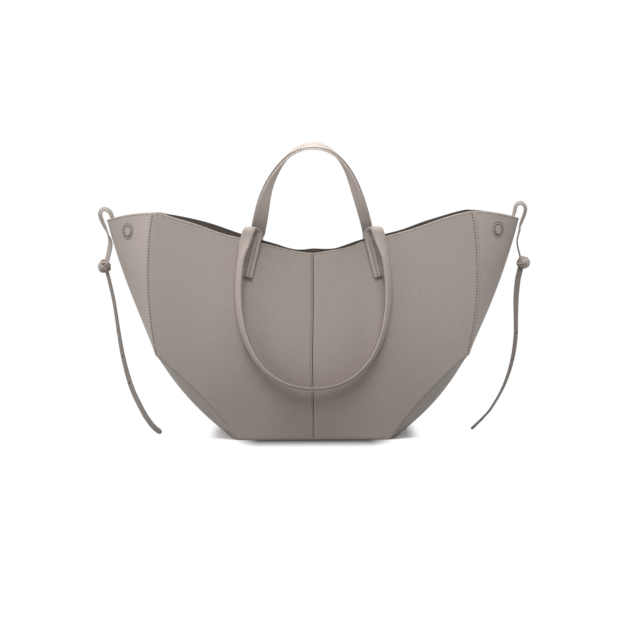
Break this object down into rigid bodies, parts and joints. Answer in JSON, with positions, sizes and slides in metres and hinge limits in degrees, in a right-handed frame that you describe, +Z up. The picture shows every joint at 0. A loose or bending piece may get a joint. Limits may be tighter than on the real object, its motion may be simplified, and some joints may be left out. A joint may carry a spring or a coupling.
{
  "type": "trapeze tote bag",
  "caption": "Soft leather trapeze tote with a flat base, outward folded wings at the sides, looped handles at front and back, and a knotted lace at each wing tip.",
  "frame": {"origin": "middle of the underside of the flat base, on the floor", "axes": "+X along the width, towards the right wing in the picture; -Y towards the front; +Z up"},
  "size_m": [0.5164, 0.2332, 0.3435],
  "materials": {
    "body_leather": "fine grained, matte",
    "handle_leather": "fine grained, matte",
    "lace_leather": "fine grained, matte",
    "facing": "matte",
    "lining": "matte",
    "reinforcement": "matte",
    "magnet": "nickel plated",
    "base_board": "matte"
  },
  "bodies": {
    "bag": {"front_panel_left": "body_leather", "front_panel_right": "body_leather", "back_panel_left": "body_leather", "back_panel_right": "body_leather", "gusset_left": "body_leather", "gusset_right": "body_leather", "base_panel": "body_leather", "base_board": "base_board", "lining_front": "lining", "lining_back": "lining", "lining_left": "lining", "lining_right": "lining", "lining_base": "lining", "facing_front": "facing", "facing_back": "facing", "facing_left": "facing", "facing_right": "facing", "magnet_front_left": "magnet", "magnet_front_right": "magnet", "magnet_back_left": "magnet", "magnet_back_right": "magnet", "magnet_cap_front_left": "body_leather", "magnet_cap_front_right": "body_leather", "magnet_cap_back_left": "body_leather", "magnet_cap_back_right": "body_leather", "front_tab_left": "handle_leather", "front_tab_right": "handle_leather", "rear_tab_left": "handle_leather", "rear_tab_right": "handle_leather", "front_backer_left": "reinforcement", "front_backer_right": "reinforcement", "rear_backer_left": "reinforcement", "rear_backer_right": "reinforcement", "left_tie_loop": "lace_leather", "right_tie_loop": "lace_leather"},
    "front_handle": {"front_handle_outer": "handle_leather", "front_handle_inner": "handle_leather", "front_handle_tape": "reinforcement"},
    "rear_handle": {"rear_handle_outer": "handle_leather", "rear_handle_inner": "handle_leather", "rear_handle_tape": "reinforcement"},
    "left_tie": {"left_tie_strap": "lace_leather", "left_knot": "lace_leather"},
    "left_tail": {"left_tail": "lace_leather"},
    "right_tie": {"right_tie_strap": "lace_leather", "right_knot": "lace_leather"},
    "right_tail": {"right_tail": "lace_leather"}
  },
  "joints": [
    {"name": "front_handle_swing", "type": "hinge", "parent": "bag", "child": "front_handle", "pos_m": [0, -0.05351, 0.24619], "axis": [-1, 0, 0], "range_deg": [0, 180]},
    {"name": "rear_handle_swing", "type": "hinge", "parent": "bag", "child": "rear_handle", "pos_m": [0, 0.05107, 0.23529], "axis": [-1, 0, 0], "range_deg": [-8, 225]},
    {"name": "left_tie_swing", "type": "hinge", "parent": "bag", "child": "left_tie", "pos_m": [-0.247, 0, 0.2392], "axis": [0, 1, 0], "range_deg": [-6, 95]},
    {"name": "left_tail_swing", "type": "hinge", "parent": "left_tie", "child": "left_tail", "pos_m": [-0.247, 0, 0.1899], "axis": [0, 1, 0], "range_deg": [-4, 60]},
    {"name": "right_tie_swing", "type": "hinge", "parent": "bag", "child": "right_tie", "pos_m": [0.247, 0, 0.2392], "axis": [0, -1, 0], "range_deg": [-6, 95]},
    {"name": "right_tail_swing", "type": "hinge", "parent": "right_tie", "child": "right_tail", "pos_m": [0.248, 0, 0.1922], "axis": [0, -1, 0], "range_deg": [-4, 60]}
  ]
}
